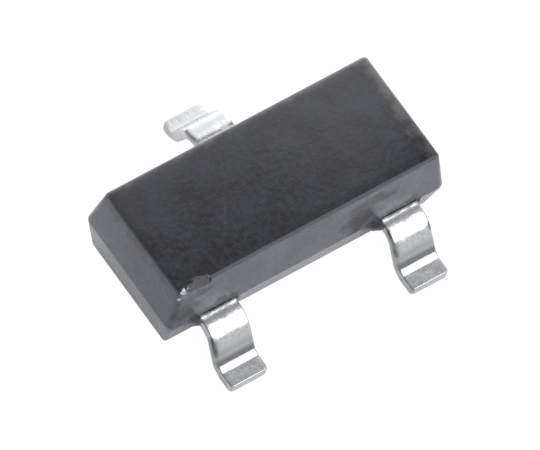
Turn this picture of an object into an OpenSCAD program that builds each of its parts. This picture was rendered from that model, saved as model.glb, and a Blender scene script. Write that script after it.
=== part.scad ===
// Small-signal transistor in a three-lead surface-mount package.
// A drafted epoxy body stands on three gull-wing leads. Inside it a chip sits on the collector lead's
// paddle, and two bond wires join it to the base and emitter leads.
// +X runs along the body, the side with two leads faces -Y, and Z = 0 is the board.

/* [Body] */
// Length of the body along its parting line
body_l = 2.89; // [2.8:0.01:3.04]
// Width of the body along its parting line
body_w = 1.3; // [1.2:0.01:1.4]
// Height of the moulding above the parting line
upper_h = 0.47; // [0.44:0.01:0.6]
// Height of the moulding below the parting line
lower_h = 0.38; // [0.32:0.01:0.5]
// Gap between the board and the underside of the body
standoff = 0.05; // [0.01:0.01:0.1]
// Draft of the walls above the parting line, in degrees
upper_draft = 11; // [5:0.5:14]
// Draft of the long walls below the parting line, in degrees
lower_side_draft = 15; // [5:0.5:18]
// Draft of the end walls below the parting line, in degrees
lower_end_draft = 10; // [5:0.5:14]
// Radius of the edges round the top face
top_edge_r = 0.05; // [0.02:0.005:0.1]
// Radius of the edges round the underside
bottom_edge_r = 0.03; // [0.01:0.005:0.06]
// Radius of the body's corners in plan, at the parting line
corner_r = 0.06; // [0.02:0.01:0.12]

/* [Leads] */
// Distance from the body's centre line to a front lead
lead_pitch = 0.95; // [0.9:0.01:1]
// Width of a lead
lead_w = 0.39; // [0.3:0.01:0.5]
// Thickness of the leadframe strip
lead_t = 0.1; // [0.08:0.005:0.15]
// Flat shoulder between the body and the upper bend
shoulder_l = 0.1; // [0.06:0.005:0.2]
// Inside radius of the upper bend
upper_bend_r = 0.14; // [0.04:0.005:0.16]
// Inside radius of the lower bend
lower_bend_r = 0.045; // [0.02:0.005:0.1]
// Slope of the leg from the board, in degrees
leg_angle = 66; // [60:1:85]
// Flat length of the foot
foot_l = 0.13; // [0.1:0.01:0.3]
// Shift of all the bends towards the rear, where the forming tool sat off centre
form_shift = 0.04; // [0:0.005:0.05]
// Radius of the corners at a foot's tip, in plan
tip_r = 0.03; // [0.01:0.005:0.1]

/* [Moulding flash] */
// How far the flash beside a lead stands out of the body
flash_out = 0.05; // [0.02:0.005:0.08]
// Width of the flash on the wide side of a front lead
flash_wide = 0.13; // [0.06:0.01:0.2]
// Width of the flash on the other sides
flash_narrow = 0.04; // [0.02:0.005:0.06]

/* [Leadframe inside the body] */
// Length of the die paddle
paddle_l = 1; // [0.8:0.05:1.2]
// Width of the die paddle
paddle_w = 0.52; // [0.45:0.01:0.56]
// Length of the neck between the rear wall and the paddle
neck_l = 0.23; // [0.15:0.01:0.28]
// Gap between the paddle and the bond posts
post_gap = 0.12; // [0.1:0.01:0.18]
// Width of a bond post
post_w = 0.2; // [0.12:0.01:0.24]
// Reach of a bond post past its lead, towards the chip
post_reach = 0.25; // [0.15:0.01:0.4]
// Reach of a bond post's anchor ear past its lead, towards the end of the body
ear_reach = 0.08; // [0.04:0.01:0.15]

/* [Chip] */
// Length of the chip
die_l = 0.4; // [0.3:0.01:0.5]
// Width of the chip
die_w = 0.36; // [0.3:0.01:0.44]
// Thickness of the chip
die_t = 0.14; // [0.1:0.01:0.18]
// Thickness of the adhesive under the chip
bond_line = 0.02; // [0.01:0.005:0.04]
// Rim of adhesive that shows round the chip
attach_rim = 0.02; // [0.01:0.005:0.04]

/* [Bond wires] */
// Diameter of a bond wire
wire_d = 0.025; // [0.02:0.005:0.05]
// Pull of a wire's loop upwards from the chip
loop_rise = 0.27; // [0.15:0.01:0.36]
// Diameter of the ball that welds a wire to the chip
ball_d = 0.06; // [0.05:0.005:0.09]
// Height of that ball
ball_h = 0.02; // [0.015:0.005:0.03]
// Distance of a weld from the chip's edges
pad_inset = 0.08; // [0.05:0.01:0.12]
// Length of the flattened stitch on a bond post
stitch_l = 0.06; // [0.04:0.01:0.1]
// Thickness of that stitch
stitch_t = 0.012; // [0.008:0.002:0.02]
// Distance of the stitch's centre from the post's inner end
stitch_inset = 0.12; // [0.06:0.01:0.16]

/* [Hidden] */

// Steps in which an edge or a bend is turned
edge_steps = 6;
bend_steps = 14;
wire_sides = 8;
wire_rings = 16;

// Heights: the leadframe lies with its upper face on the parting plane
parting_z = standoff + lower_h;
frame_z = parting_z - lead_t;
top_z = parting_z + upper_h;
chip_z = parting_z + bond_line;
weld_z = chip_z + die_t;

// The bent lead, measured outwards from the body's wall
outer_bend_r = upper_bend_r + lead_t;
heel_r = lower_bend_r + lead_t;
leg_drop = frame_z - (outer_bend_r + lower_bend_r) * (1 - cos(leg_angle));
bends_run = (outer_bend_r + lower_bend_r) * sin(leg_angle) + leg_drop / tan(leg_angle);
lead_reach = shoulder_l + bends_run + foot_l;
front_shoulder = shoulder_l - form_shift;
rear_shoulder = shoulder_l + form_shift;

// Places inside the body
wall_y = body_w / 2;
chip_y = wall_y - neck_l - paddle_w / 2;
post_depth = body_w - neck_l - paddle_w - post_gap - post_w;
post_y = post_depth + post_w / 2 - wall_y;
stitch_x = lead_pitch - lead_w / 2 - post_reach + stitch_inset;
weld_x = die_l / 2 - pad_inset;
weld_y = chip_y - die_w / 2 + pad_inset;

// Points of an arc about a centre, from one angle to another
function arc(centre, r, from, to, steps) = [
    for (i = [0 : steps])
        let (a = from + (to - from) * i / steps)
        [centre[0] + r * cos(a), centre[1] + r * sin(a)]
];

// The same outline on the other side of the vertical axis, in reverse order
function mirrored(points) = [
    for (i = [len(points) - 1 : -1 : 0])
        [-points[i][0], points[i][1]]
];

// Distance from a drafted wall's sharp edge to where a rounding of radius r leaves the flat face
function tangent_l(r, draft) = r * tan((90 - draft) / 2);

// Right half of the body's section from underside to top, about the parting line
function half_section(width, lower_draft) =
    let (
        top_x = width / 2 - upper_h * tan(upper_draft) - tangent_l(top_edge_r, upper_draft),
        low_x = width / 2 - lower_h * tan(lower_draft) - tangent_l(bottom_edge_r, lower_draft)
    )
    concat(
        arc([low_x, bottom_edge_r - lower_h], bottom_edge_r, -90, -lower_draft, edge_steps),
        [[width / 2, 0]],
        arc([top_x, upper_h - top_edge_r], top_edge_r, upper_draft, 90, edge_steps)
    );

module body_section(width, lower_draft) {
    right = half_section(width, lower_draft);
    polygon(concat(right, mirrored(right)));
}

module body_plan() {
    x = body_l / 2 - corner_r;
    y = body_w / 2 - corner_r;
    right = concat(
        arc([x, -y], corner_r, -90, 0, edge_steps),
        arc([x, y], corner_r, 0, 90, edge_steps)
    );
    polygon(concat(right, mirrored(right)));
}

// The block that the mould's two halves give, before the leads are let in
module moulded_block() {
    translate([0, 0, parting_z])
    intersection() {
        rotate([90, 0, 0])
        linear_extrude(2 * body_w, center = true)
        body_section(body_l, lower_end_draft);
        rotate([90, 0, 90])
        linear_extrude(2 * body_l, center = true)
        body_section(body_w, lower_side_draft);
        linear_extrude(2 * top_z, center = true)
        body_plan();
    }
}

// Side view of a lead: [distance outwards from the wall, height], with a flat tail inside the body
function bend_profile(shoulder) =
    let (
        heel_x = shoulder + bends_run,
        upper = [shoulder, parting_z - outer_bend_r],
        lower = [heel_x, heel_r]
    )
    concat(
        [[-body_w, parting_z]],
        arc(upper, outer_bend_r, 90, 90 - leg_angle, bend_steps),
        arc(lower, lower_bend_r, 270 - leg_angle, 270, bend_steps),
        [[lead_reach, lead_t], [lead_reach, 0]],
        arc(lower, heel_r, 270, 270 - leg_angle, bend_steps),
        arc(upper, upper_bend_r, 90 - leg_angle, 90, bend_steps),
        [[-body_w, frame_z]]
    );

// Flat outline of a lead: a stem from its tip into the body, and a plate across the stem's inner end
function blank(depth, left, right, plate_w) =
    let (tip = [lead_w / 2 - tip_r, lead_reach - tip_r])
    concat(
        [[left, -depth - plate_w], [right, -depth - plate_w], [right, -depth], [lead_w / 2, -depth]],
        arc(tip, tip_r, 0, 90, edge_steps),
        arc([-tip[0], tip[1]], tip_r, 90, 180, edge_steps),
        [[-lead_w / 2, -depth], [left, -depth]]
    );

// A lead that leaves the wall at the origin towards +Y
module formed_lead(shoulder, depth, left, right, plate_w) {
    intersection() {
        rotate([90, 0, 90])
        linear_extrude(2 * body_l, center = true)
        polygon(bend_profile(shoulder));
        linear_extrude(2 * top_z, center = true)
        polygon(blank(depth, left, right, plate_w));
    }
}

// Puts a piece drawn at the origin on the front wall at x, turned to face -Y
module on_front_wall(x) {
    translate([x, -wall_y, 0])
    rotate([0, 0, 180])
    children();
}

module on_rear_wall() {
    translate([0, wall_y, 0])
    children();
}

// A front lead with its post reaching towards +X (side 1) or -X (side -1)
module front_lead_form(side) {
    on_front_wall(-side * lead_pitch)
    mirror([side > 0 ? 1 : 0, 0, 0])
    formed_lead(front_shoulder, post_depth, -lead_w / 2 - ear_reach, lead_w / 2 + post_reach, post_w);
}

module collector_lead_form() {
    on_rear_wall()
    formed_lead(rear_shoulder, neck_l, -paddle_l / 2, paddle_l / 2, paddle_w);
}

// Thin wedge of resin that crept out of the mould along one side of a lead, as thick as the strip
module flash_wedge(width, out) {
    translate([lead_w / 2, 0, frame_z])
    linear_extrude(lead_t)
    polygon([[0, -out], [width, -out], [width, 0], [width / 3, out], [0, out]]);
}

module lead_flash(right, left) {
    flash_wedge(right, flash_out);
    mirror([1, 0, 0])
    flash_wedge(left, flash_out);
}

module chip_block(length, width, z, height) {
    translate([-length / 2, chip_y - width / 2, z])
    cube([length, width, height]);
}

function bezier(a, b, c, d, t) =
    a * pow(1 - t, 3) + b * 3 * t * pow(1 - t, 2) + c * 3 * t * t * (1 - t) + d * pow(t, 3);

function bezier_slope(a, b, c, d, t) =
    (b - a) * 3 * pow(1 - t, 2) + (c - b) * 6 * t * (1 - t) + (d - c) * 3 * t * t;

// A wire's loop in its own upright plane, from the weld at the origin to a stitch at [span, fall]
module wire_loop(span, fall) {
    a = [0, 0];
    b = [0, loop_rise];
    c = [span / 2, fall];
    d = [span, fall];
    points = [
        for (i = [0 : wire_rings - 1])
            let (
                t = i / (wire_rings - 1),
                p = bezier(a, b, c, d, t),
                s = bezier_slope(a, b, c, d, t),
                along = s / norm(s)
            )
            for (k = [0 : wire_sides - 1])
                let (
                    turn = (k + 0.5) * 360 / wire_sides,
                    side = cos(turn) * wire_d / 2,
                    up = sin(turn) * wire_d / 2
                )
                [p[0] - up * along[1], side, p[1] + up * along[0]]
    ];
    last = (wire_rings - 1) * wire_sides;
    faces = concat(
        [[for (k = [0 : wire_sides - 1]) k]],
        [[for (k = [wire_sides - 1 : -1 : 0]) last + k]],
        [
            for (i = [0 : wire_rings - 2], k = [0 : wire_sides - 1])
                let (
                    here = i * wire_sides,
                    next = here + wire_sides,
                    j = (k + 1) % wire_sides
                )
                [here + k, next + k, next + j, here + j]
        ]
    );
    polyhedron(points, faces, convexity = 4);
}

// A bond wire towards +X (side 1) or -X (side -1): ball on the chip, loop, stitch on the post
module bond_wire_form(side) {
    run = [stitch_x - weld_x, post_y - weld_y];
    lie = wire_d / 2 * cos(180 / wire_sides);
    start_z = weld_z + ball_h / 2;
    mirror([side > 0 ? 0 : 1, 0, 0])
    translate([weld_x, weld_y, 0])
    rotate([0, 0, atan2(run[1], run[0])]) {
        translate([0, 0, weld_z])
        cylinder(h = ball_h, d = ball_d, $fn = 32);
        translate([0, 0, start_z])
        wire_loop(norm(run), parting_z + lie - start_z);
        translate([norm(run) - stitch_l / 2, -wire_d, parting_z])
        cube([stitch_l, 2 * wire_d, stitch_t]);
    }
}

module inner_pieces() {
    front_lead_form(1);
    front_lead_form(-1);
    collector_lead_form();
    chip_block(die_l + 2 * attach_rim, die_w + 2 * attach_rim, parting_z, bond_line);
    chip_block(die_l, die_w, chip_z, die_t);
    bond_wire_form(-1);
    bond_wire_form(1);
}

module moulded_body() {
    color("#3e3f43")
    difference() {
        union() {
            moulded_block();
            for (x = [-lead_pitch, lead_pitch])
                on_front_wall(x)
                lead_flash(flash_wide, flash_narrow);
            on_rear_wall()
            lead_flash(flash_narrow, flash_narrow);
        }
        inner_pieces();
    }
}

module base_lead() {
    color("#c3c5c7")
    front_lead_form(1);
}

module emitter_lead() {
    color("#c3c5c7")
    front_lead_form(-1);
}

module collector_lead() {
    color("#c3c5c7")
    collector_lead_form();
}

module die_attach() {
    color("#9a9a96")
    chip_block(die_l + 2 * attach_rim, die_w + 2 * attach_rim, parting_z, bond_line);
}

module die() {
    color("#55596b")
    chip_block(die_l, die_w, chip_z, die_t);
}

module base_wire() {
    color("#d9a441")
    bond_wire_form(-1);
}

module emitter_wire() {
    color("#d9a441")
    bond_wire_form(1);
}

moulded_body();
base_lead();
emitter_lead();
collector_lead();
die_attach();
die();
base_wire();
emitter_wire();
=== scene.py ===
"""Dresses a three-lead surface-mount transistor and sets it under soft studio light.

Every length in the dataclasses is in millimetres. A piece is modelled in them and brought to metres last.
"""

import logging
import math
from dataclasses import dataclass, field
from enum import Enum
from functools import partial
from typing import Any, Callable, Sequence, Union

import bmesh
import bpy
from mathutils import Matrix, Vector


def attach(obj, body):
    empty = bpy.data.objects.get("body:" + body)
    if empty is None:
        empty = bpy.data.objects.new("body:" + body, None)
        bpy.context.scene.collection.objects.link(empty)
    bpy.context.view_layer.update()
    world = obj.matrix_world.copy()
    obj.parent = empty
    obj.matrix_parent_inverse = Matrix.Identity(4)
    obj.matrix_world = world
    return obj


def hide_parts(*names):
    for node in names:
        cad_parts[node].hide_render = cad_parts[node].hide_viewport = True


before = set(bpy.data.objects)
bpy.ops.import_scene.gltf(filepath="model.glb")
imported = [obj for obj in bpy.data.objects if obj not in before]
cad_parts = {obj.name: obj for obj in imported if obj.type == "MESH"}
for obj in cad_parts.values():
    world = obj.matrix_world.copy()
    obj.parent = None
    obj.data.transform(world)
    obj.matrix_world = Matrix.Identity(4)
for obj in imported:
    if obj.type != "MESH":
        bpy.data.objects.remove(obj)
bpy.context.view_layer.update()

Colour = tuple[float, float, float, float]
Feed = Union[bpy.types.Node, bpy.types.NodeSocket]
AddNode = Callable[..., bpy.types.Node]

LOG = logging.getLogger("transistor")
MM = 0.001
# Corners closer than this, in millimetres, are one; after a cut or a break the limit is coarser
MERGE = 1e-5
SLIVER = 1e-3
# Where most values of a noise texture lie
NOISE = (0.3, 0.7)
WHITE: Colour = (1.0, 1.0, 1.0, 1.0)
# How many seeds the uneven sections of the leads share
SEEDS = 97
IMAGE_W, IMAGE_H = 540, 450


class Pick(Enum):
    """What a selection in edit mode is made of: the mesh list and the select mode."""

    VERTS = "verts"
    EDGES = "edges"
    FACES = "faces"


class Exit(Enum):
    """The wall that a lead leaves: the sign of its outward direction along Y."""

    FRONT = -1
    REAR = 1


def linear(colour: str) -> Colour:
    """Turns an sRGB hex colour to linear light.

    Args:
        colour: six hex digits after a hash sign.

    Returns:
        Linear red, green and blue with an alpha of 1.
    """
    parts = [int(colour[i : i + 2], 16) / 255 for i in (1, 3, 5)]
    light = [c / 12.92 if c <= 0.04045 else ((c + 0.055) / 1.055) ** 2.4 for c in parts]
    return (light[0], light[1], light[2], 1.0)


def tones(places: Sequence[float], *colours: str) -> list[tuple[float, Colour]]:
    """Gives the stops of a colour ramp."""
    return list(zip(places, map(linear, colours)))


def add_node(
    tree: bpy.types.NodeTree,
    kind: str,
    inputs: dict[str, Any] | Sequence[Any] = (),
    stops: Sequence[tuple[float, Colour]] = (),
    **settings: Any,
) -> bpy.types.Node:
    """Adds one node with its settings and links.

    Args:
        tree: the node tree that gets it.
        kind: the node's type name, without the ShaderNode prefix.
        inputs: what each socket gets, by name or in order: a value, an output socket, or a node, which
            feeds it from the first output in use.
        stops: places and colours of a colour ramp.
        settings: attributes of the node itself.

    Returns:
        The new node.
    """
    node = tree.nodes.new("ShaderNode" + kind)
    for name, value in settings.items():
        setattr(node, name, value)
    for i, (place, colour) in enumerate(stops):
        ramp = node.color_ramp.elements
        stop = ramp[i] if i < len(ramp) else ramp.new(place)
        stop.position, stop.color = place, colour
    sockets = inputs if isinstance(inputs, dict) else dict(enumerate(inputs))
    for key, value in sockets.items():
        if isinstance(value, bpy.types.Node):
            value = next(output for output in value.outputs if output.enabled)
        if isinstance(value, bpy.types.NodeSocket):
            tree.links.new(value, node.inputs[key])
        else:
            node.inputs[key].default_value = value
    return node


def new_material(name: str) -> tuple[bpy.types.Material, AddNode]:
    """Makes an empty node material.

    Args:
        name: the real material's name.

    Returns:
        The material, and add_node for its cleared tree.
    """
    material = bpy.data.materials.new(name)
    material.use_nodes = True
    material.node_tree.nodes.clear()
    return material, partial(add_node, material.node_tree)


def per_metre(size_mm: float) -> float:
    """Gives a texture scale whose features are about a size in millimetres."""
    return 1 / (size_mm * MM)


def alone(obj: bpy.types.Object) -> None:
    """Selects one object alone and makes it the active one.

    Args:
        obj: the object.
    """
    bpy.ops.object.select_all(action="DESELECT")
    bpy.context.view_layer.objects.active = obj
    obj.select_set(True)


def edit(obj: bpy.types.Object) -> None:
    """Selects one object alone and enters edit mode on it.

    Args:
        obj: the object.
    """
    if bpy.context.mode != "OBJECT":
        bpy.ops.object.mode_set(mode="OBJECT")
    alone(obj)
    bpy.ops.object.mode_set(mode="EDIT")


def sized(scale: tuple[float, float, float]) -> bpy.types.Object:
    """Gives the primitive that was just added its size.

    Args:
        scale: the factor along each of its own axes.

    Returns:
        The object, with its place, turn and size applied to its mesh.
    """
    obj = bpy.context.object
    obj.scale = scale
    bpy.ops.object.transform_apply(location=True, rotation=True, scale=True)
    return obj


def join(pieces: Sequence[bpy.types.Object]) -> bpy.types.Object:
    """Joins pieces to one object.

    Args:
        pieces: the pieces, of which the first takes in the others.

    Returns:
        The first piece.
    """
    alone(pieces[0])
    for piece in pieces:
        piece.select_set(True)
    bpy.ops.object.join()
    return pieces[0]


def pick(obj: bpy.types.Object, kind: Pick, test: Callable[[Any], bool]) -> None:
    """Selects in edit mode only what passes a test.

    Args:
        obj: the object being edited.
        kind: vertices, edges or faces.
        test: true for an element that is wanted.
    """
    bpy.context.tool_settings.mesh_select_mode = tuple(kind is k for k in Pick)
    bpy.ops.mesh.select_all(action="DESELECT")
    mesh = bmesh.from_edit_mesh(obj.data)
    for item in filter(test, getattr(mesh, kind.value)):
        item.select_set(True)
    mesh.select_flush_mode()
    bmesh.update_edit_mesh(obj.data)


def middle(edge: bmesh.types.BMEdge) -> Vector:
    """Gives an edge's midpoint."""
    return (edge.verts[0].co + edge.verts[1].co) / 2


def all_at(item: Any, z: float) -> bool:
    """Tells whether an edge or a face lies level at a height."""
    return all(abs(v.co.z - z) < MERGE for v in item.verts)


def rise_of(edge: bmesh.types.BMEdge) -> float:
    """Gives how much higher one end of an edge lies than the other."""
    return abs(edge.verts[1].co.z - edge.verts[0].co.z)


def half_of_selection(obj: bpy.types.Object) -> float:
    """Gives half the width, along X, of what is selected in edit mode."""
    mesh = bmesh.from_edit_mesh(obj.data)
    return max(abs(v.co.x) for v in mesh.verts if v.select)


def bevel(width: float, segments: int, affect: str = "EDGES") -> None:
    """Rounds off the selected edges, or corners, by a width in a number of steps."""
    bpy.ops.mesh.bevel(offset=width, segments=segments, affect=affect, profile=0.5, clamp_overlap=False)


def extrude(move: Vector) -> None:
    """Extrudes the selected faces and moves the new ones."""
    bpy.ops.mesh.extrude_region_move(TRANSFORM_OT_translate={"value": tuple(move)})


def resize(factors: tuple[float, float, float], centre: tuple[float, float, float]) -> None:
    """Scales the selection about a point."""
    bpy.ops.transform.resize(value=factors, center_override=centre)


def merge(limit: float) -> None:
    """Merges all corners that lie closer together than a limit."""
    bpy.ops.mesh.select_all(action="SELECT")
    bpy.ops.mesh.remove_doubles(threshold=limit)


def slice_off(place: Vector, side: Vector) -> None:
    """Cuts the mesh at a plane, drops what lies on the side that the plane faces, and closes the cut."""
    bpy.ops.mesh.select_all(action="SELECT")
    bpy.ops.mesh.bisect(plane_co=place, plane_no=side, use_fill=True, clear_outer=True, threshold=MERGE)


def close_mesh(obj: bpy.types.Object) -> None:
    """Merges doubles, turns the normals outwards, brings the mesh to metres and leaves edit mode.

    Args:
        obj: the piece being edited.
    """
    merge(MERGE)
    bpy.ops.mesh.normals_make_consistent(inside=False)
    resize((MM, MM, MM), (0, 0, 0))
    bpy.ops.object.mode_set(mode="OBJECT")
    obj.data.update()


def smooth(obj: bpy.types.Object, angle: float = 40.0) -> None:
    """Shades an object smooth below an angle and lets its large faces stay flat.

    Args:
        obj: the finished piece.
        angle: degrees between faces past which an edge stays sharp.
    """
    alone(obj)
    bpy.ops.object.shade_smooth_by_angle(angle=math.radians(angle))
    bpy.ops.object.modifier_add(type="WEIGHTED_NORMAL")
    obj.modifiers[-1].keep_sharp = True
    bpy.ops.object.modifier_apply(modifier=obj.modifiers[-1].name)


def dress(obj: bpy.types.Object, material: bpy.types.Material) -> None:
    """Gives an object one material."""
    obj.data.materials.clear()
    obj.data.materials.append(material)


@dataclass(frozen=True)
class PaintedShade:
    """Painted shade on the compound, where shadow and dark mirrored things fall on the walls: its middle, its
    reach along each axis and how dark it is.

    The core is the share of the reach within which it is darkest.
    """

    place: tuple[float, float, float]
    reach: tuple[float, float, float]
    depth: float = 1.0
    core: float = 0.35

    def level(self, add: AddNode, place: Feed) -> bpy.types.Node:
        """Tells how much painted shade a place gets.

        Args:
            add: adds a node to the material.
            place: object coordinates.

        Returns:
            A node whose value rises from 0 at the rim to the depth in the middle.
        """
        away = add("VectorMath", (place, Vector(self.place) * MM), operation="SUBTRACT")
        scaled = add("VectorMath", (away, Vector(self.reach) * MM), operation="DIVIDE")
        share = add("VectorMath", (scaled,), operation="LENGTH")
        return add("MapRange", (share, 1.0, self.core, 0.0, self.depth), interpolation_type="SMOOTHSTEP")


@dataclass(frozen=True)
class MouldingCompound:
    """Black epoxy filled with ground silica: dull on top and glossier on the walls, with painted shade making
    the top dark and painted light making the walls paler.
    """

    # The top, walls and lower walls are lit and shaded copies of one colour: painted shade on the top,
    # painted light on the walls, and more painted light on the lower walls, which face the floor
    top: tuple[str, str] = ("#0d0e13", "#2a2c36")
    wall: tuple[str, str] = ("#5b5d66", "#6e707a")
    lower: tuple[str, str] = ("#6c6f7b", "#80838f")
    # A painted highlight along the rear and right end edges of the top
    rim: str = "#4f4e4d"
    # Painted shade: darker patches on the walls where shadow and the mirrored leads and flash fall, and along
    # the top of the left end
    painted_shade_colour: str = "#272523"
    painted_shades: tuple[PaintedShade, ...] = (
        PaintedShade((0.53, -0.62, 0.6), (0.24, 0.12, 0.2), 0.75),
        PaintedShade((0.72, -0.64, 0.47), (0.1, 0.1, 0.1), 0.4),
        PaintedShade((0.7, -0.68, 0.41), (0.2, 0.08, 0.1), 0.68),
        PaintedShade((0.68, -0.59, 0.76), (0.34, 0.08, 0.1), 0.75),
        PaintedShade((0.97, -0.65, 0.46), (0.28, 0.08, 0.09), 0.95),
        PaintedShade((-1.17, -0.64, 0.47), (0.1, 0.1, 0.1), 0.55),
        PaintedShade((-1.17, -0.7, 0.39), (0.14, 0.06, 0.1), 0.5),
        PaintedShade((-0.93, -0.65, 0.46), (0.28, 0.08, 0.09), 0.95),
        PaintedShade((-1.33, -0.62, 0.66), (0.26, 0.06, 0.3), 0.62),
        PaintedShade((-1.36, 0.0, 0.85), (0.1, 0.9, 0.09), 0.4),
        PaintedShade((-1.12, -0.59, 0.76), (0.17, 0.06, 0.08), 0.6),
    )
    ior: float = 1.5
    # The filler is finer than this, and than a pixel, so its grain is drawn coarser
    grain_mm: float = 0.05
    cloud_mm: float = 0.3
    cloud_share: float = 0.55
    tone_places: tuple[float, float] = (0.35, 0.65)
    top_roughness: tuple[float, float] = (0.2, 0.32)
    wall_roughness: tuple[float, float] = (0.18, 0.32)
    bump_mm: float = 0.003
    bump_strength: float = 0.6
    ragged_mm: float = 0.16
    drift_mm: tuple[float, float, float] = (0.3, 0.12, 0.3)
    worn_roughness: float = 0.5
    top_from_mm: tuple[float, float] = (0.6, 0.85)
    # A top faces up by more than the first of these, and a wall by less than the second
    facing_up: tuple[float, float] = (0.96, 0.45)
    lower_from_mm: tuple[float, float] = (0.44, 0.41)
    # Where the painted highlight along the right end and rear edges of the top starts and is full
    rim_highlight_from_mm: tuple[tuple[str, float, float], ...] = (("X", 1.235, 1.345), ("Y", 0.495, 0.575))

    def material(self) -> bpy.types.Material:
        """Builds the compound: a mottled top darkened by painted shade, satin walls lightened by painted
        light that mirror what is near, a painted highlight on the rear and right top edges, and painted shade
        near the leads.

        Returns:
            The material.
        """
        material, add = new_material("epoxy_moulding_compound")
        place = add("TexCoord").outputs["Object"]
        grain = add(
            "TexNoise", {"Vector": place, "Scale": per_metre(self.grain_mm), "Detail": 4.0, "Roughness": 0.65}
        )
        cloud = add("TexNoise", {"Vector": place, "Scale": per_metre(self.cloud_mm), "Detail": 3.0})
        tone = add("Mix", {"Factor": self.cloud_share, "A": grain, "B": cloud})
        top, upper, lower = (
            add("ValToRGB", (tone,), tones(self.tone_places, *colours))
            for colours in (self.top, self.wall, self.lower)
        )
        ragged = self.ragged(add, place)
        axes, torn = (add("SeparateXYZ", (spot,)).outputs for spot in (place, ragged))
        high, low = (edge * MM for edge in self.lower_from_mm)
        # The lower walls get a paler copy: painted light from the floor below them
        under = add("MapRange", (axes["Z"], high, low))
        ends, sides = (
            add("MapRange", (torn[axis], inner * MM, outer * MM), interpolation_type="SMOOTHSTEP")
            for axis, inner, outer in self.rim_highlight_from_mm
        )
        # A painted highlight along the right end and rear edges of the top
        painted_rim_highlight = add("Math", (ends, sides), operation="MAXIMUM")
        face = add("Mix", {"Factor": painted_rim_highlight, "A": top, "B": linear(self.rim)}, data_type="RGBA")
        wall = add("Mix", {"Factor": under, "A": upper, "B": lower}, data_type="RGBA")
        # Painted shade near the leads, at the left front corner and along the top of the left end
        painted_shades = self.painted_shade_mask(add, ragged)
        wall_with_painted_shade = add("Mix", {"Factor": painted_shades, "A": wall, "B": linear(self.painted_shade_colour)}, data_type="RGBA")
        # Splits the painted shade of the top from the painted light of the walls
        upright = self.wall_mask(add, place)
        colour = add("Mix", {"Factor": upright, "A": face, "B": wall_with_painted_shade}, data_type="RGBA")
        matt, satin = (
            add("MapRange", (grain, *NOISE, *span)) for span in (self.top_roughness, self.wall_roughness)
        )
        skins = add("Mix", {"Factor": upright, "A": matt, "B": satin})
        # Highest half way from a top to a wall, which is the worn edge between them
        edge = add("Math", (upright, 0.5), operation="PINGPONG")
        rough = add("Math", (edge, self.worn_roughness, skins), operation="MULTIPLY_ADD")
        bump = add("Bump", {"Height": grain, "Strength": self.bump_strength, "Distance": self.bump_mm * MM})
        shader = add(
            "BsdfPrincipled", {"Base Color": colour, "Roughness": rough, "IOR": self.ior, "Normal": bump}
        )
        add("OutputMaterial", (shader,))
        return material

    def wall_mask(self, add: AddNode, place: Feed) -> bpy.types.Node:
        """Tells the walls and the flash, which get painted light, from the top face, which gets painted
        shade.

        Args:
            add: adds a node to the material.
            place: object coordinates.

        Returns:
            A node whose value is 0 on the top face and 1 elsewhere.
        """
        normal = add("NewGeometry").outputs["Normal"]
        upwards, height = (add("SeparateXYZ", (part,)).outputs["Z"] for part in (normal, place))
        low, high = (edge * MM for edge in self.top_from_mm)
        raised = add("MapRange", (height, low, high))
        facing = add("Math", (upwards, raised), operation="MULTIPLY")
        return add("MapRange", (facing, *self.facing_up))

    def ragged(self, add: AddNode, place: Feed) -> bpy.types.Node:
        """Shifts places a little at random, so that what is drawn there gets a torn outline.

        Args:
            add: adds a node to the material.
            place: object coordinates.

        Returns:
            A node that gives the shifted coordinates.
        """
        noise = add("TexNoise", {"Vector": place, "Scale": per_metre(self.ragged_mm), "Detail": 2.0})
        drift = add("VectorMath", (noise.outputs["Color"], Vector((0.5, 0.5, 0.5))), operation="SUBTRACT")
        return add("VectorMath", (drift, Vector(self.drift_mm) * MM, place), operation="MULTIPLY_ADD")

    def painted_shade_mask(self, add: AddNode, place: Feed) -> bpy.types.Node:
        """Gathers the patches of painted shade.

        Args:
            add: adds a node to the material.
            place: object coordinates.

        Returns:
            A node whose value rises from 0 to 1 towards the middle of a patch of painted shade.
        """
        mask, *others = (painted_patch.level(add, place) for painted_patch in self.painted_shades)
        for level in others:
            mask = add("Math", (mask, level), operation="MAXIMUM")
        return mask


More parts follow.
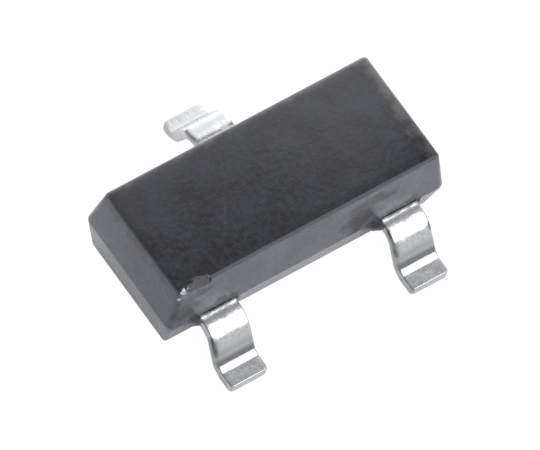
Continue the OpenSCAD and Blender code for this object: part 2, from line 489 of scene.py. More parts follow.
@dataclass(frozen=True)
class TinPlating:
    """Matte tin, electroplated over a copper alloy strip and then bent in a forming die."""

    bright: str = "#d6d8da"
    dull: str = "#bfc2c5"
    # Dull sheared metal, and painted shade and painted reflections in the bends, on the shoulders and along
    # the edges
    tarnish_and_shade: str = "#565b58"
    tone_places: tuple[float, float] = (0.3, 0.62)
    # The crystals of the plating are finer than a pixel, so their grain is drawn coarser
    grain_mm: float = 0.03
    ripple_mm: float = 0.1
    roughness: tuple[float, float] = (0.19, 0.33)
    bump_mm: float = 0.0015
    swell_mm: float = 0.0075
    # How far the grain breaks up a patch of tarnish and painted shade, and the levels at which it starts and
    # is full
    patchiness: float = 0.4
    tarnish_and_shade_from: tuple[float, float] = (0.35, 1.1)

    def material(self) -> bpy.types.Material:
        """Builds the plating: pale grey metal with a fine grain, broken highlights, dull sheared edges, and
        painted shade and painted reflections in the bends and along the edges.

        Returns:
            The material.
        """
        material, add = new_material("matte_tin_plating")
        place = add("TexCoord").outputs["Object"]
        grain = add(
            "TexNoise", {"Vector": place, "Scale": per_metre(self.grain_mm), "Detail": 3.0, "Roughness": 0.6}
        )
        ripple = add("TexNoise", {"Vector": place, "Scale": per_metre(self.ripple_mm), "Detail": 2.0})
        tin = add("ValToRGB", (grain,), tones(self.tone_places, self.dull, self.bright))
        # Tarnish on the sheared metal, and painted shade and painted reflections elsewhere
        worn = add("Attribute", attribute_name="tarnish_and_shade").outputs["Fac"]
        patchy = add("Math", (grain, self.patchiness, worn), operation="MULTIPLY_ADD")
        dull = add("MapRange", (patchy, *self.tarnish_and_shade_from))
        colour = add("Mix", {"Factor": dull, "A": tin, "B": linear(self.tarnish_and_shade)}, data_type="RGBA")
        rough = add("MapRange", (ripple, *NOISE, *self.roughness))
        swell = add("Bump", {"Height": ripple, "Strength": 0.8, "Distance": self.swell_mm * MM})
        bump = add(
            "Bump", {"Height": grain, "Strength": 0.5, "Distance": self.bump_mm * MM, "Normal": swell}
        )
        shader = add(
            "BsdfPrincipled", {"Base Color": colour, "Metallic": 1.0, "Roughness": rough, "Normal": bump}
        )
        add("OutputMaterial", (shader,))
        return material


@dataclass(frozen=True)
class GrainedFinish:
    """A plain finish with a fine grain between a darker and a lighter tone."""

    name: str
    dark: str
    light: str
    metallic: float
    roughness: float
    grain_mm: float
    tone_places: tuple[float, float] = (0.35, 0.65)

    def material(self) -> bpy.types.Material:
        """Builds the finish.

        Returns:
            The material.
        """
        material, add = new_material(self.name)
        place = add("TexCoord").outputs["Object"]
        grain = add("TexNoise", {"Vector": place, "Scale": per_metre(self.grain_mm), "Detail": 3.0})
        colour = add("ValToRGB", (grain,), tones(self.tone_places, self.dark, self.light))
        shader = add(
            "BsdfPrincipled",
            {"Base Color": colour, "Metallic": self.metallic, "Roughness": self.roughness},
        )
        add("OutputMaterial", (shader,))
        return material


# Epoxy full of silver flakes: pale grey and dull
SILVER_ADHESIVE = GrainedFinish("silver_filled_adhesive", "#a3a29c", "#c4c3bd", 0.6, 0.55, 0.02)
# Polished silicon under its passivation: dark, bluish and glossy
SILICON = GrainedFinish("passivated_silicon", "#3b3f52", "#4d5370", 0.0, 0.15, 0.08)
# Drawn gold: yellow and bright
GOLD_WIRE = GrainedFinish("drawn_gold_wire", "#c9973a", "#e3b457", 1.0, 0.25, 0.03)
# Silica grains laid bare where the compound has chipped: pale, dry and crumbled
BARE_SILICA = GrainedFinish("broken_silica_filler", "#8f9a9b", "#dfe4e4", 0.0, 0.7, 0.02, (0.35, 0.55))
# Compound that has been rubbed: greyer than the bare grains, and as dry
RUBBED_COMPOUND = GrainedFinish("scuffed_compound", "#5b6063", "#868c8f", 0.0, 0.7, 0.02, (0.35, 0.55))


@dataclass(frozen=True)
class Flash:
    """A tongue of resin that escaped beside a lead: a thin wedge, widest at the lead."""

    lead_x: float
    exit: Exit
    side: int
    width: float
    out: float
    seed: int
    lead_w: float = 0.39
    wall_y: float = 0.65
    top_z: float = 0.425
    thickness: float = 0.085
    root: float = 0.12
    raggedness: float = 0.006
    edge_r: float = 0.006
    lean: float = 13.5
    tears: int = 7

    def build(self) -> bpy.types.Object:
        """Models the wedge from a cube cut on a slant, with a torn outer edge.

        Returns:
            The wedge, in millimetres.
        """
        near = self.lead_x + self.side * self.lead_w / 2
        far = near + self.side * self.width
        outwards = self.exit.value
        wall = outwards * self.wall_y
        middle_y = wall + outwards * (self.out - self.root) / 2
        bpy.ops.mesh.primitive_cube_add(
            size=1, location=((near + far) / 2, middle_y, self.top_z - self.thickness / 2)
        )
        wedge = sized((self.width, self.out + self.root, self.thickness))
        wedge.name = "flash"
        edit(wedge)
        drop = -self.width * math.tan(math.radians(self.lean))
        slant = Vector((self.side * self.out, outwards * self.width, drop)).normalized()
        cut = Vector((far, wall, self.top_z))
        slice_off(cut, slant)
        pick(
            wedge,
            Pick.EDGES,
            lambda e: rise_of(e) < MERGE and (middle(e) - cut).dot(slant) > -MERGE,
        )
        bpy.ops.mesh.subdivide(number_cuts=self.tears)
        pick(
            wedge,
            Pick.VERTS,
            lambda v: (v.co - cut).dot(slant) > -MERGE and (v.co.y - wall) * outwards > MERGE,
        )
        bpy.ops.transform.vertex_random(offset=self.raggedness, seed=self.seed)
        pick(
            wedge,
            Pick.EDGES,
            lambda e: rise_of(e) < self.thickness / 2 and (middle(e) - cut).dot(slant) > -2 * self.raggedness,
        )
        bevel(self.edge_r, 2)
        bpy.ops.object.mode_set(mode="OBJECT")
        return wedge


@dataclass(frozen=True)
class EdgeBreak:
    """A stretch of the top front edge that has crumbled away: its middle, length and depth."""

    place: tuple[float, float, float]
    length: float = 0.24
    depth: float = 0.034
    yaw: float = 3.0
    lean: float = 45.0
    tool: float = 0.1
    tears: int = 7
    beside: float = 0.15
    raggedness: float = 0.005
    seed: int = 4

    def cut(self, block: bpy.types.Object) -> None:
        """Cuts the edge away with a battered bar that lies along it.

        Args:
            block: the body, in millimetres.
        """
        out = Vector((0, -1, 1)).normalized() * (self.tool / 2 - self.depth)
        bpy.ops.mesh.primitive_cube_add(
            size=1,
            location=Vector(self.place) + out,
            rotation=(math.radians(self.lean), 0, math.radians(self.yaw)),
        )
        bar = sized((self.length, self.tool, self.tool))
        edit(bar)
        bpy.ops.mesh.select_all(action="SELECT")
        bpy.ops.mesh.subdivide(number_cuts=self.tears)
        bpy.ops.transform.vertex_random(offset=self.raggedness, seed=self.seed)
        bpy.ops.object.mode_set(mode="OBJECT")
        alone(block)
        bpy.ops.object.modifier_add(type="BOOLEAN")
        block.modifiers[-1].object = bar
        block.modifiers[-1].operation = "DIFFERENCE"
        bpy.ops.object.modifier_apply(modifier=block.modifiers[-1].name)
        bpy.data.objects.remove(bar, do_unlink=True)
        edit(block)
        # The cut leaves corners here that all but touch
        x, y, _ = self.place
        pick(block, Pick.VERTS, lambda v: abs(v.co.x - x) < self.beside and v.co.y < y + self.tool)
        bpy.ops.mesh.remove_doubles(threshold=SLIVER)
        bpy.ops.object.mode_set(mode="OBJECT")


@dataclass
class MouldedBody:
    """The epoxy block: two drafted halves that meet at the parting line, and the flash beside the leads."""

    finish: MouldingCompound
    broken_edge: EdgeBreak = EdgeBreak((-1.15, -0.57, 0.9))
    length: float = 2.89
    width: float = 1.3
    upper_h: float = 0.47
    lower_h: float = 0.38
    standoff: float = 0.05
    upper_draft: float = 9.7
    lower_end_draft: float = 10.0
    lower_side_draft: float = 13.5
    parting_corner_r: float = 0.068
    top_corner_share: float = 0.62
    bottom_corner_share: float = 0.5
    corner_steps: int = 6
    top_round: float = 0.034
    top_steps: int = 6
    bottom_round: float = 0.015
    bottom_steps: int = 3
    parting_round: float = 0.01
    parting_steps: int = 2
    rim: float = 0.1
    flashes: tuple[Flash, ...] = (
        Flash(-0.95, Exit.FRONT, -1, 0.15, 0.06, 4),
        Flash(-0.95, Exit.FRONT, 1, 0.05, 0.03, 5),
        Flash(0.95, Exit.FRONT, -1, 0.16, 0.085, 7),
        Flash(0.95, Exit.FRONT, 1, 0.05, 0.03, 11),
        Flash(0.0, Exit.REAR, -1, 0.05, 0.04, 13),
        Flash(0.0, Exit.REAR, 1, 0.05, 0.04, 17),
    )

    @property
    def parting_z(self) -> float:
        """Height of the parting line."""
        return self.standoff + self.lower_h

    @property
    def top_z(self) -> float:
        """Height of the top face."""
        return self.parting_z + self.upper_h

    def push_half(
        self, block: bpy.types.Object, rise: float, inset: tuple[float, float], corner_share: float
    ) -> None:
        """Extrudes one half from the selected parting face, leans its walls and tightens its corners.

        Args:
            block: the body being edited.
            rise: how far the half goes up, or down when negative.
            inset: how far its far face comes in at each end and at each side.
            corner_share: the far corners' radius as a share of the radius at the parting line.
        """
        extrude(Vector((0, 0, rise)))
        z = self.parting_z + rise
        resize((1 - 2 * inset[0] / self.length, 1 - 2 * inset[1] / self.width, 1), (0, 0, z))
        far = Vector((self.length / 2 - inset[0], self.width / 2 - inset[1]))
        for sx in (-1, 1):
            for sy in (-1, 1):
                pick(
                    block,
                    Pick.VERTS,
                    lambda v: abs(v.co.z - z) < MERGE and v.co.x * sx > 0 and v.co.y * sy > 0,
                )
                resize((corner_share, corner_share, 1), (sx * far.x, sy * far.y, z))

    def build(self) -> bpy.types.Object:
        """Models the block from its rounded plan at the parting line, then joins the flash to it.

        Returns:
            The body, in metres.
        """
        bpy.ops.mesh.primitive_plane_add(size=1, location=(0, 0, self.parting_z))
        block = sized((self.length, self.width, 1))
        block.name = "body_moulding"
        edit(block)
        pick(block, Pick.VERTS, lambda v: True)
        bevel(self.parting_corner_r, self.corner_steps, "VERTICES")
        pick(block, Pick.FACES, lambda f: True)
        upper = self.upper_h * math.tan(math.radians(self.upper_draft))
        self.push_half(block, self.upper_h, (upper, upper), self.top_corner_share)
        lower_x = self.lower_h * math.tan(math.radians(self.lower_end_draft))
        lower_y = self.lower_h * math.tan(math.radians(self.lower_side_draft))
        pick(block, Pick.FACES, lambda f: all_at(f, self.parting_z))
        self.push_half(block, -self.lower_h, (lower_x, lower_y), self.bottom_corner_share)
        for z, width, steps in (
            (self.top_z, self.top_round, self.top_steps),
            (self.standoff, self.bottom_round, self.bottom_steps),
            (self.parting_z, self.parting_round, self.parting_steps),
        ):
            pick(block, Pick.EDGES, lambda e: all_at(e, z))
            bevel(width, steps)
        for z in (self.top_z, self.standoff):
            pick(block, Pick.FACES, lambda f: all_at(f, z))
            extrude(Vector((0, 0, 0)))
            resize((1 - 2 * self.rim / self.length, 1 - 2 * self.rim / self.width, 1), (0, 0, z))
        bpy.ops.mesh.select_all(action="SELECT")
        bpy.ops.mesh.normals_make_consistent(inside=False)
        bpy.ops.object.mode_set(mode="OBJECT")
        self.broken_edge.cut(block)
        edit(join([block, *(flash.build() for flash in self.flashes)]))
        close_mesh(block)
        smooth(block)
        dress(block, self.finish.material())
        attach(block, "root")
        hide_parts("moulded_body")
        return block


@dataclass(frozen=True)
class TarnishAndShade:
    """A dull streak on a lead: tarnish on sheared metal, and elsewhere painted shade and painted reflections
    that darken bends, shoulders and edges. Its ends are given as across from the middle, out from the wall,
    height.
    """

    start: tuple[float, float, float]
    end: tuple[float, float, float]
    radius: float
    depth: float = 1.0

    def level(self, place: Vector) -> float:
        """Tells how much tarnish and painted shade a place gets.

        Args:
            place: across, out and height, in millimetres.

        Returns:
            The depth on the streak's line, down to 0 or less past its radius.
        """
        start, run = Vector(self.start), Vector(self.end) - Vector(self.start)
        along = (place - start).dot(run) / max(run.length_squared, MERGE)
        away = place - start - run * min(max(along, 0.0), 1.0)
        return self.depth * (1 - away.length / self.radius)


@dataclass
class GullWingLead:
    """One stamped and formed lead: a foot on the board, a leg, a shoulder, and its plate inside the body."""

    name: str
    node: str
    exit: Exit
    x: float
    plate_depth: float
    plate_width: float
    plate_left: float
    plate_right: float
    shoulder: float
    clamp_marks: tuple[tuple[float, float], ...]
    streaks: tuple[TarnishAndShade, ...] = ()
    wall_y: float = 0.65
    tip_y: float = 1.212
    top_z: float = 0.43
    width: float = 0.39
    thickness: float = 0.1
    upper_bend_r: float = 0.14
    lower_bend_r: float = 0.03
    leg_angle: float = 66.0
    facet_angle: float = 26.0
    facet: float = 0.05
    edge_r: float = 0.016
    edge_steps: int = 4
    tip_r: float = 0.035
    tip_turns: tuple[int, ...] = (25, 50, 75)
    tip_edge_share: float = 1 / 6
    bend_step: float = 4.0
    least_bend_steps: int = 3
    straight_steps: int = 6
    cuts_across: int = 11
    unevenness: float = 0.001

    @property
    def reach(self) -> float:
        """Distance from the wall to the tip."""
        return self.tip_y - self.wall_y

    @property
    def leg(self) -> float:
        """Works out the straight length of the leg, so that the foot ends on the board.

        Returns:
            The length.
        """
        turn, flat = math.radians(self.leg_angle), math.radians(self.facet_angle)
        bends = (self.upper_bend_r + self.thickness + self.lower_bend_r) * (1 - math.cos(turn))
        return (self.top_z - self.thickness - bends - self.facet * math.sin(flat)) / math.sin(turn)

    def bend(self, pivot: Vector, degrees: float) -> None:
        """Turns the end of the strip about a line across it through a pivot, downwards when positive."""
        steps = max(self.least_bend_steps, round(abs(degrees) / self.bend_step))
        bpy.ops.mesh.spin(steps=steps, angle=-math.radians(degrees), center=pivot, axis=(1, 0, 0))

    def build(self, material: bpy.types.Material) -> bpy.types.Object:
        """Models the lead as it was formed, by pushing its section along the shoulder, bends, leg and foot.

        Args:
            material: the plating.

        Returns:
            The lead, in metres.
        """
        bpy.ops.mesh.primitive_plane_add(
            size=1, location=(0, 0, self.top_z - self.thickness / 2), rotation=(math.pi / 2, 0, 0)
        )
        lead = sized((self.width, self.thickness, 1))
        lead.name = self.name
        edit(lead)
        pick(lead, Pick.VERTS, lambda v: True)
        bevel(self.edge_r, self.edge_steps, "VERTICES")
        pick(lead, Pick.EDGES, lambda e: e.calc_length() > self.width / 2)
        bpy.ops.mesh.subdivide(number_cuts=self.cuts_across)
        pick(lead, Pick.FACES, lambda f: True)
        self.form(lead)
        for place, rise in self.clamp_marks:
            self.lift(lead, -place, rise)
        self.add_plate(lead)
        bpy.ops.mesh.select_all(action="SELECT")
        if self.exit is Exit.REAR:
            bpy.ops.transform.rotate(value=math.pi, orient_axis="Z", center_override=(0, 0, 0))
        bpy.ops.transform.translate(value=(self.x, self.exit.value * self.wall_y, 0))
        close_mesh(lead)
        smooth(lead)
        self.tarnish_and_shade(lead)
        dress(lead, material)
        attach(lead, "root")
        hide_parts(self.node)
        return lead

    def form(self, lead: bpy.types.Object) -> None:
        """Pushes the selected section out from the wall, which stands at y = 0 and faces -Y, to the tip.

        Args:
            lead: the lead being edited.
        """
        outwards = Vector((0, -1, 0))
        ends = [place for place, _ in self.clamp_marks] + [self.shoulder]
        for start, end in zip([0.0] + ends, ends):
            extrude(outwards * (end - start))
        outer = self.upper_bend_r + self.thickness
        spot = Vector((0, -self.shoulder, self.top_z))
        self.bend(spot - Vector((0, 0, outer)), self.leg_angle)
        turn = math.radians(self.leg_angle)
        spot += Vector((0, -outer * math.sin(turn), -outer * (1 - math.cos(turn))))
        for length, start, end in (
            (self.leg, self.leg_angle, self.facet_angle),
            (self.facet, self.facet_angle, 0.0),
        ):
            a, b = math.radians(start), math.radians(end)
            run = Vector((0, -math.cos(a), -math.sin(a))) * length
            for _ in range(self.straight_steps):
                extrude(run / self.straight_steps)
            spot += run
            pivot = spot + Vector((0, -math.sin(a), math.cos(a))) * self.lower_bend_r
            self.bend(pivot, end - start)
            spot = pivot - Vector((0, -math.sin(b), math.cos(b))) * self.lower_bend_r
        for _ in range(self.straight_steps):
            extrude(outwards * ((self.reach + spot.y - self.tip_r) / self.straight_steps))
        half, done = self.width / 2, 0.0
        for degrees in self.tip_turns:
            turn = math.radians(degrees)
            along = self.tip_r * math.sin(turn)
            extrude(outwards * (along - done))
            narrow = half - self.tip_r * (1 - math.cos(turn))
            resize((narrow / half_of_selection(lead), 1, 1), (0, 0, 0))
            done = along
        tip = -self.reach + self.tip_r - done
        pick(lead, Pick.EDGES, lambda e: all(abs(v.co.y - tip) < MERGE for v in e.verts))
        bevel(self.tip_r * self.tip_edge_share, 2)

    def lift(self, lead: bpy.types.Object, y: float, rise: float) -> None:
        """Raises the upper side of one section of the shoulder, a little unevenly.

        Args:
            lead: the lead being edited.
            y: where the section stands.
            rise: how far it goes up, or down when negative.
        """
        upper, rim = self.top_z - self.edge_r - MERGE, self.width / 3
        pick(lead, Pick.VERTS, lambda v: abs(v.co.y - y) < MERGE and v.co.z > upper)
        bpy.ops.transform.translate(value=(0, 0, rise))
        if rise > 0:
            # Towards the sheared edges it stands up by a third more
            pick(
                lead,
                Pick.VERTS,
                lambda v: abs(v.co.y - y) < MERGE and v.co.z > self.top_z and abs(v.co.x) > rim,
            )
            bpy.ops.transform.translate(value=(0, 0, rise / 3))
        pick(lead, Pick.VERTS, lambda v: abs(v.co.y - y) < MERGE and v.co.z > self.top_z - self.thickness / 2)
        micrometres = round(1000 * (self.x - y))
        bpy.ops.transform.vertex_random(offset=self.unevenness, seed=micrometres % SEEDS)

    def add_plate(self, lead: bpy.types.Object) -> None:
        """Carries the strip on into the body and widens it to the bond post or paddle.

        Args:
            lead: the lead being edited, with its wall at y = 0 and the body on the +Y side.
        """
        pick(lead, Pick.FACES, lambda f: all(abs(v.co.y) < MERGE for v in f.verts))
        extrude(Vector((0, self.plate_depth, 0)))
        extrude(Vector((0, self.plate_width, 0)))
        inner = self.plate_depth + self.plate_width / 2
        for side, reach in ((1, self.plate_right), (-1, self.plate_left)):
            pick(
                lead,
                Pick.FACES,
                lambda f: abs(f.calc_center_median().y - inner) < MERGE and side * f.normal.x > 0.1,
            )
            extrude(Vector((side * reach, 0, 0)))

    def tarnish_and_shade(self, lead: bpy.types.Object) -> None:
        """Marks each vertex's tarnish and painted shade, for the plating.

        Args:
            lead: the finished lead, in metres.
        """
        mark = lead.data.attributes.new("tarnish_and_shade", "FLOAT", "POINT")
        for vertex in lead.data.vertices:
            at = vertex.co / MM
            place = Vector((at.x - self.x, self.exit.value * at.y - self.wall_y, at.z))
            mark.data[vertex.index].value = max(0.0, *(streak.level(place) for streak in self.streaks))


@dataclass(frozen=True)
class Flake:
    """One bit of bare filler: where it sits, half its size along each axis, and how it is broken."""

    place: tuple[float, float, float]
    size: tuple[float, float, float]
    seed: int
    battered: float = 0.5
    breaks: int = 4
    turn: float = 2.1
    lean: tuple[float, float] = (-0.4, 0.9)
    kept: float = 0.55

    def sides(self) -> list[Vector]:
        """Gives the directions that its broken sides face, all of them up or out from the wall.

        Returns:
            Unit vectors.
        """
        out, up = self.lean
        turns = (self.seed + self.turn * step for step in range(self.breaks))
        return [Vector((math.cos(turn), math.sin(turn) + out, up)).normalized() for turn in turns]

    def reach(self, side: Vector) -> float:
        """Gives how far out from its middle a side breaks, as a share of the whole ball's reach that way."""
        return self.kept * Vector([half * part for half, part in zip(self.size, side)]).length

    def build(self) -> bpy.types.Object:
        """Models the flake as a battered ball, broken on its sides.

        Returns:
            The flake, in millimetres.
        """
        bpy.ops.mesh.primitive_ico_sphere_add(subdivisions=2, radius=1, location=self.place)
        ball = sized(self.size)
        edit(ball)
        bpy.ops.mesh.select_all(action="SELECT")
        bpy.ops.transform.vertex_random(offset=min(self.size) * self.battered, seed=self.seed)
        for side in self.sides():
            slice_off(Vector(self.place) + side * self.reach(side), side)
        bpy.ops.object.mode_set(mode="OBJECT")
        return ball


@dataclass
class WornPatch:
    """Flakes of one tone at the worn corner at the front left of the top."""

    name: str
    finish: GrainedFinish
    flakes: tuple[Flake, ...]
    crease: float = 25.0

    def build(self) -> bpy.types.Object:
        """Joins the flakes, which stand sunk in the edge.

        Returns:
            The flakes, in metres.
        """
        worn = join([flake.build() for flake in self.flakes])
        worn.name = self.name
        edit(worn)
        merge(SLIVER)
        close_mesh(worn)
        smooth(worn, self.crease)
        dress(worn, self.finish.material())
        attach(worn, "root")
        return worn


@dataclass
class SealedChip:
    """The chip, its adhesive and its bond wires, which stay the CAD solids and get their finishes."""

    finishes: dict[str, GrainedFinish] = field(
        default_factory=lambda: {
            "die_attach": SILVER_ADHESIVE,
            "die": SILICON,
            "base_wire": GOLD_WIRE,
            "emitter_wire": GOLD_WIRE,
        }
    )

    def build(self) -> None:
        """Dresses each CAD node."""
        made = {finish: finish.material() for finish in dict.fromkeys(self.finishes.values())}
        for node, finish in self.finishes.items():
            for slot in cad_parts[node].material_slots:
                slot.material = made[finish]
            LOG.info("dressed %s in %s", node, finish.name)


@dataclass(frozen=True)
class SoftBox:
    """A soft light: an evenly bright panel that faces a point of the part."""

    name: str
    place: tuple[float, float, float]
    aim: tuple[float, float, float]
    size: tuple[float, float]
    brightness: float

    def build(self) -> None:
        """Hangs the panel, out of the lens's sight."""
        data = bpy.data.lights.new(self.name, "AREA")
        data.shape = "RECTANGLE"
        data.size, data.size_y = (side * MM for side in self.size)
        data.energy = self.brightness * math.pi * data.size * data.size_y
        panel = bpy.data.objects.new(self.name, data)
        panel.location = Vector(self.place) * MM
        panel.rotation_euler = (Vector(self.aim) - Vector(self.place)).to_track_quat("-Z", "Y").to_euler()
        panel.visible_camera = False
        bpy.context.scene.collection.objects.link(panel)


@dataclass
class Studio:
    """A light tent over a pale floor, three soft boxes, and the camera on a long lens."""

    azimuth: float = -48.591
    elevation: float = 59.843
    roll: float = 16.33
    distance: float = 150.0
    px_per_mm: float = 116.357
    origin_px: tuple[float, float] = (258.34, 224.94)
    sensor: float = 36.0
    clip: float = 10.0
    floor_size: float = 120.0
    floor_colour: str = "#efefed"
    floor_white: float = 0.93
    floor_glow: float = 1.05
    floor_mirrored: float = 0.45
    floor_falloff: tuple[tuple[float, float], ...] = ((-0.8, 0.84), (0.2, 1.05))
    sky: tuple[tuple[float, float], ...] = ((0.0, 0.6), (0.5, 0.52), (0.72, 0.44), (0.87, 0.4), (1.0, 0.36))
    sides: tuple[tuple[float, float], ...] = ((-0.6, 0.55), (0.9, 1.6))
    boxes: tuple[SoftBox, ...] = (
        SoftBox("front_box", (9.55, -17.35, 23.2), (0.0, 0.0, 0.4), (26.0, 30.8), 2.1),
        SoftBox("back_box", (1.0, 1.6, 2.1), (1.0, 0.6, 2.0), (8.0, 4.2), 0.95),
        SoftBox("side_box", (2.1, 2.28, 2.2), (1.1, 2.28, 2.0), (3.74, 4.2), 0.75),
    )

    @property
    def back(self) -> Vector:
        """Direction from the part to the camera."""
        a, e = math.radians(self.azimuth), math.radians(self.elevation)
        return Vector((math.sin(a) * math.cos(e), -math.cos(a) * math.cos(e), math.sin(e)))

    def add_camera(self) -> None:
        """Sets the camera where the photograph was taken from."""
        roll = math.radians(self.roll)
        level = Vector((0, 0, 1)).cross(self.back).normalized()
        steep = self.back.cross(level)
        right = level * math.cos(roll) + steep * math.sin(roll)
        up = steep * math.cos(roll) - level * math.sin(roll)
        aim = right * ((IMAGE_W / 2 - self.origin_px[0]) / self.px_per_mm)
        aim += up * ((self.origin_px[1] - IMAGE_H / 2) / self.px_per_mm)
        data = bpy.data.cameras.new("camera")
        data.sensor_width = self.sensor
        data.lens = self.sensor * self.distance / (IMAGE_W / self.px_per_mm)
        data.clip_start, data.clip_end = self.distance * MM / self.clip, self.distance * MM * self.clip
        camera = bpy.data.objects.new("camera", data)
        bpy.context.scene.collection.objects.link(camera)
        spot = (aim + self.back * self.distance) * MM
        camera.matrix_world = Matrix.Translation(spot) @ Matrix((right, up, self.back)).transposed().to_4x4()
        bpy.context.scene.camera = camera

    def add_floor(self) -> None:
        """Lays pale card: white to the lens, with a faint shadow, and mirrored brighter at the back."""
        bpy.ops.mesh.primitive_plane_add(size=self.floor_size * MM)
        floor = bpy.context.object
        floor.name = "floor"
        material, add = new_material("pale_card")
        path = add("LightPath").outputs
        mirrored = add("Math", (path["Is Glossy Ray"], path["Is Transmission Ray"]), operation="MAXIMUM")
        dimmed = add("Math", (mirrored, self.floor_mirrored), operation="MULTIPLY")
        lens = add("Math", (path["Is Camera Ray"], self.floor_white), operation="MULTIPLY")
        share = add("Math", (dimmed, lens), operation="MAXIMUM")
        card = add("BsdfDiffuse", {"Color": linear(self.floor_colour)})
        depth = add("SeparateXYZ", (add("TexCoord").outputs["Object"],)).outputs["Y"]
        (near, dim), (far, full) = self.floor_falloff
        faded = add("MapRange", (depth, near * MM, far * MM, dim, full))
        glow = add("Mix", {"Factor": path["Is Camera Ray"], "A": faded, "B": self.floor_glow})
        white = add("Emission", {"Color": WHITE, "Strength": glow})
        mixed = add("MixShader", (share, card, white))
        add("OutputMaterial", (mixed,))
        dress(floor, material)

    def add_sky(self) -> None:
        """Lights the tent: bright round the horizon, dimmer overhead and on the lens's side."""
        world = bpy.data.worlds.new("light_tent")
        bpy.context.scene.world = world
        world.use_nodes = True
        world.node_tree.nodes.clear()
        add = partial(add_node, world.node_tree)
        ray = add("SeparateXYZ", (add("TexCoord").outputs["Generated"],)).outputs
        tent = add("ValToRGB", (ray["Z"],), [(place, (level, level, level, 1)) for place, level in self.sky])
        (left, dim), (right, full) = self.sides
        shade = add("MapRange", (ray["X"], left, right, dim, full))
        dimmed = add("Background", {"Color": tent, "Strength": shade})
        white = add("Background", {"Color": WHITE})
        mixed = add("MixShader", (add("LightPath").outputs["Is Camera Ray"], dimmed, white))
        add("OutputWorld", (mixed,))

    def build(self) -> None:
        """Sets the camera, the floor and the light."""
        bpy.context.scene.view_settings.view_transform = "Standard"
        self.add_camera()
        self.add_floor()
        self.add_sky()
        for box in self.boxes:
            box.build()


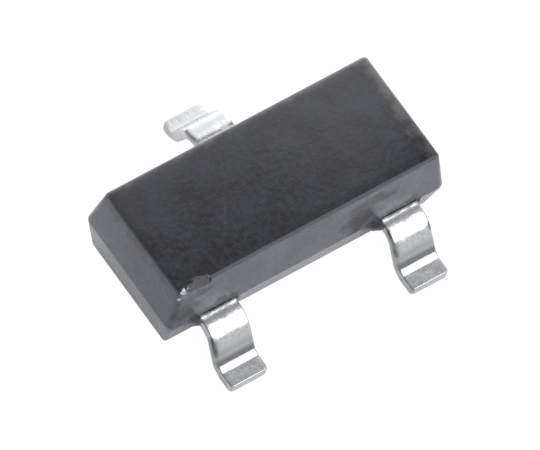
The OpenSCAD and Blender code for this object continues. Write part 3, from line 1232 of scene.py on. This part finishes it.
def make_leads() -> tuple[GullWingLead, ...]:
    """Describes the three leads.

    Returns:
        The base and emitter leads of the front wall and the collector lead of the rear wall.
    """
    front = {
        "exit": Exit.FRONT,
        "shoulder": 0.06,
        "plate_depth": 0.23,
        "plate_width": 0.2,
        "clamp_marks": ((0.003, 0.002), (0.0065, 0.008), (0.011, 0.009), (0.028, 0.0045), (0.05, 0.0)),
        "tip_y": 1.238,
        "leg_angle": 58.5,
    }
    # Painted shade: dark bands across the foot of each front leg, where its own shadow is mirrored
    formed = (
        TarnishAndShade((-0.2, 0.373, 0.14), (0.2, 0.373, 0.14), 0.055, 0.75),
        TarnishAndShade((-0.2, 0.359, 0.162), (0.2, 0.359, 0.162), 0.05, 0.75),
        TarnishAndShade((-0.2, 0.352, 0.174), (-0.08, 0.357, 0.166), 0.06, 0.7),
        TarnishAndShade((-0.2, 0.325, 0.22), (0.2, 0.325, 0.22), 0.12, 0.4),
    )
    left_tip, right_tip = (-0.18, 0.57, 0.06), (0.18, 0.57, 0.06)
    return (
        GullWingLead(
            "base_lead_formed",
            "base_lead",
            x=-0.95,
            plate_left=0.08,
            plate_right=0.25,
            streaks=(
                *formed,
                # Painted reflection down the left edge and painted shade across the shoulder; dull sheared
                # corners at the tip
                TarnishAndShade((-0.19, 0.22, 0.35), (-0.185, 0.3, 0.23), 0.06, 1.0),
                TarnishAndShade((-0.2, 0.06, 0.435), (0.2, 0.06, 0.435), 0.05, 0.3),
                TarnishAndShade(left_tip, left_tip, 0.04),
                TarnishAndShade(right_tip, right_tip, 0.05),
            ),
            **front,
        ),
        GullWingLead(
            "emitter_lead_formed",
            "emitter_lead",
            x=0.95,
            plate_left=0.25,
            plate_right=0.08,
            streaks=(
                *formed,
                # Painted reflection down the left edge and painted shade at the right edge; a dull sheared
                # tip
                TarnishAndShade((-0.195, 0.13, 0.42), (-0.19, 0.29, 0.26), 0.055, 0.9),
                TarnishAndShade((0.19, 0.21, 0.37), (0.19, 0.235, 0.34), 0.04),
                TarnishAndShade(left_tip, left_tip, 0.055),
                TarnishAndShade(right_tip, right_tip, 0.045),
                TarnishAndShade((-0.12, 0.575, 0.05), (0.18, 0.575, 0.05), 0.06, 0.55),
            ),
            **front,
        ),
        GullWingLead(
            "collector_lead_formed",
            "collector_lead",
            Exit.REAR,
            0.0,
            plate_depth=0.23,
            plate_width=0.52,
            plate_left=0.305,
            plate_right=0.305,
            shoulder=0.14,
            clamp_marks=((0.1, 0.0), (0.112, 0.0), (0.117, -0.0035), (0.137, 0.0)),
            streaks=(
                # Painted shade at the shoulder, in its groove and over the bend and foot, and a painted
                # reflection down the left edge
                TarnishAndShade((0.18, 0.125, 0.42), (0.18, 0.125, 0.42), 0.05, 1.2),
                TarnishAndShade((-0.2, 0.115, 0.43), (0.2, 0.115, 0.43), 0.07, 0.7),
                TarnishAndShade((-0.19, 0.15, 0.425), (-0.19, 0.28, 0.38), 0.035, 1.0),
                TarnishAndShade((-0.2, 0.2, 0.42), (0.2, 0.2, 0.42), 0.2, 0.42),
                TarnishAndShade((-0.2, 0.53, 0.1), (0.2, 0.53, 0.1), 0.2, 0.5),
            ),
        ),
    )


def make_wear() -> tuple[WornPatch, ...]:
    """Describes the wear at the front left corner of the top.

    Returns:
        The bright chips and the greyer scuffs.
    """
    chips = (
        Flake((-1.314, -0.553, 0.89), (0.034, 0.03, 0.022), 2),
        Flake((-1.348, -0.572, 0.82), (0.04, 0.014, 0.013), 5),
    )
    scuffs = (
        Flake((-1.381, -0.578, 0.725), (0.006, 0.007, 0.022), 8),
        Flake((-1.27, -0.556, 0.893), (0.026, 0.012, 0.009), 9),
        Flake((-1.04, -0.542, 0.889), (0.014, 0.022, 0.012), 12),
    )
    return (
        WornPatch("chipped_corner", BARE_SILICA, chips),
        WornPatch("scuffed_edge", RUBBED_COMPOUND, scuffs),
    )


def main() -> None:
    """Builds the pieces in order and reports each."""
    logging.basicConfig(level=logging.INFO, format="%(message)s")
    Studio().build()
    plating = TinPlating().material()
    made = [MouldedBody(MouldingCompound()).build()]
    made += [lead.build(plating) for lead in make_leads()]
    made += [patch.build() for patch in make_wear()]
    SealedChip().build()
    for piece in made:
        LOG.info("%s: %d faces", piece.name, len(piece.data.polygons))


if __name__ == "__main__":
    main()
